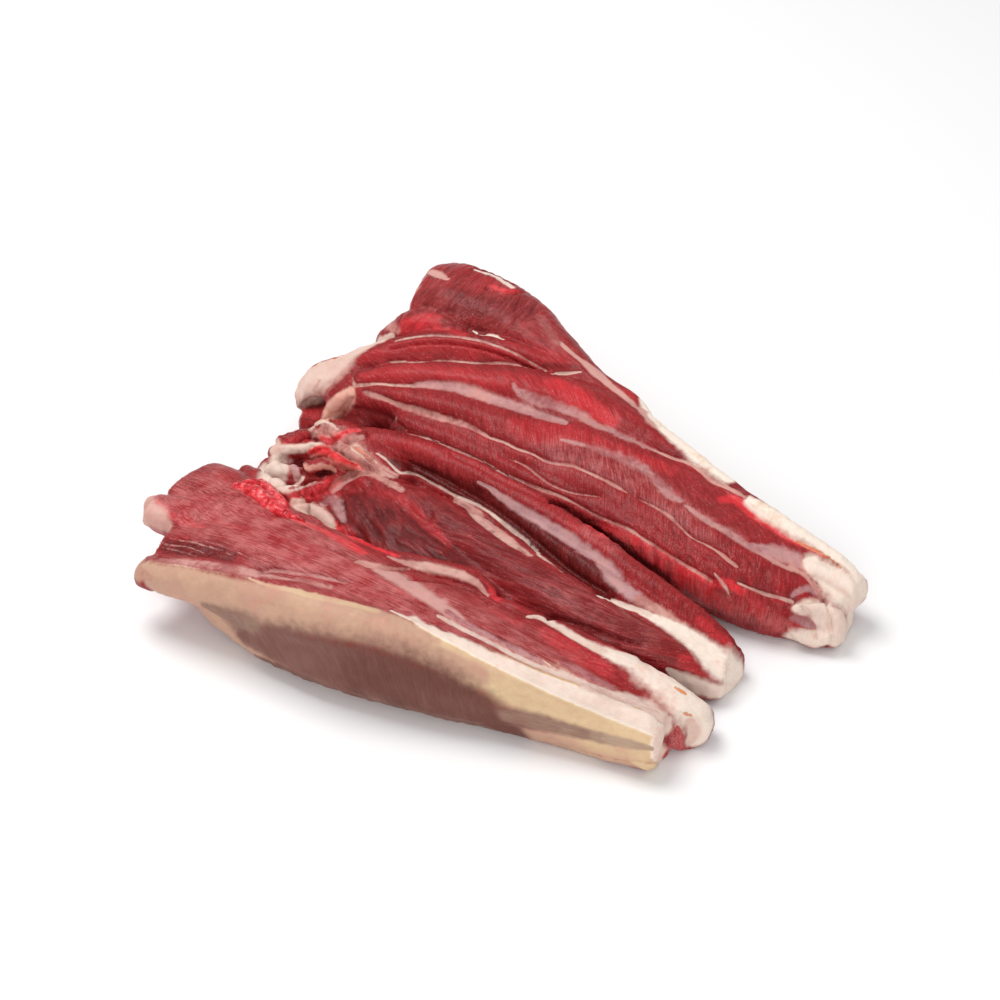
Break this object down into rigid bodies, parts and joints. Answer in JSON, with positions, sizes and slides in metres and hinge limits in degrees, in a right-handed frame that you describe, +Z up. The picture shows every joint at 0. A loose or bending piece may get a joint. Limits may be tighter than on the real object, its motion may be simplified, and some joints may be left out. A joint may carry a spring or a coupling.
{
  "type": "raw boneless beef shank",
  "caption": "Raw boneless beef shank opened out flat, its muscle bundles fanning from the gristle at the knee end to their tendon ends.",
  "frame": {"origin": "centre of the bounding box, on the table that the meat lies on", "axes": "+X along the muscles from the knee end to the tendon ends, +Y across the fan from the fat-covered bundle to the thick one, +Z up out of the table"},
  "size_m": [0.3217, 0.2755, 0.0682],
  "materials": {
    "raw_meat": "moist raw beef, satin to glossy, with cream fat, white tendon and lilac fascia"
  },
  "bodies": {
    "root": {"beef_shank": "raw_meat"}
  },
  "joints": []
}
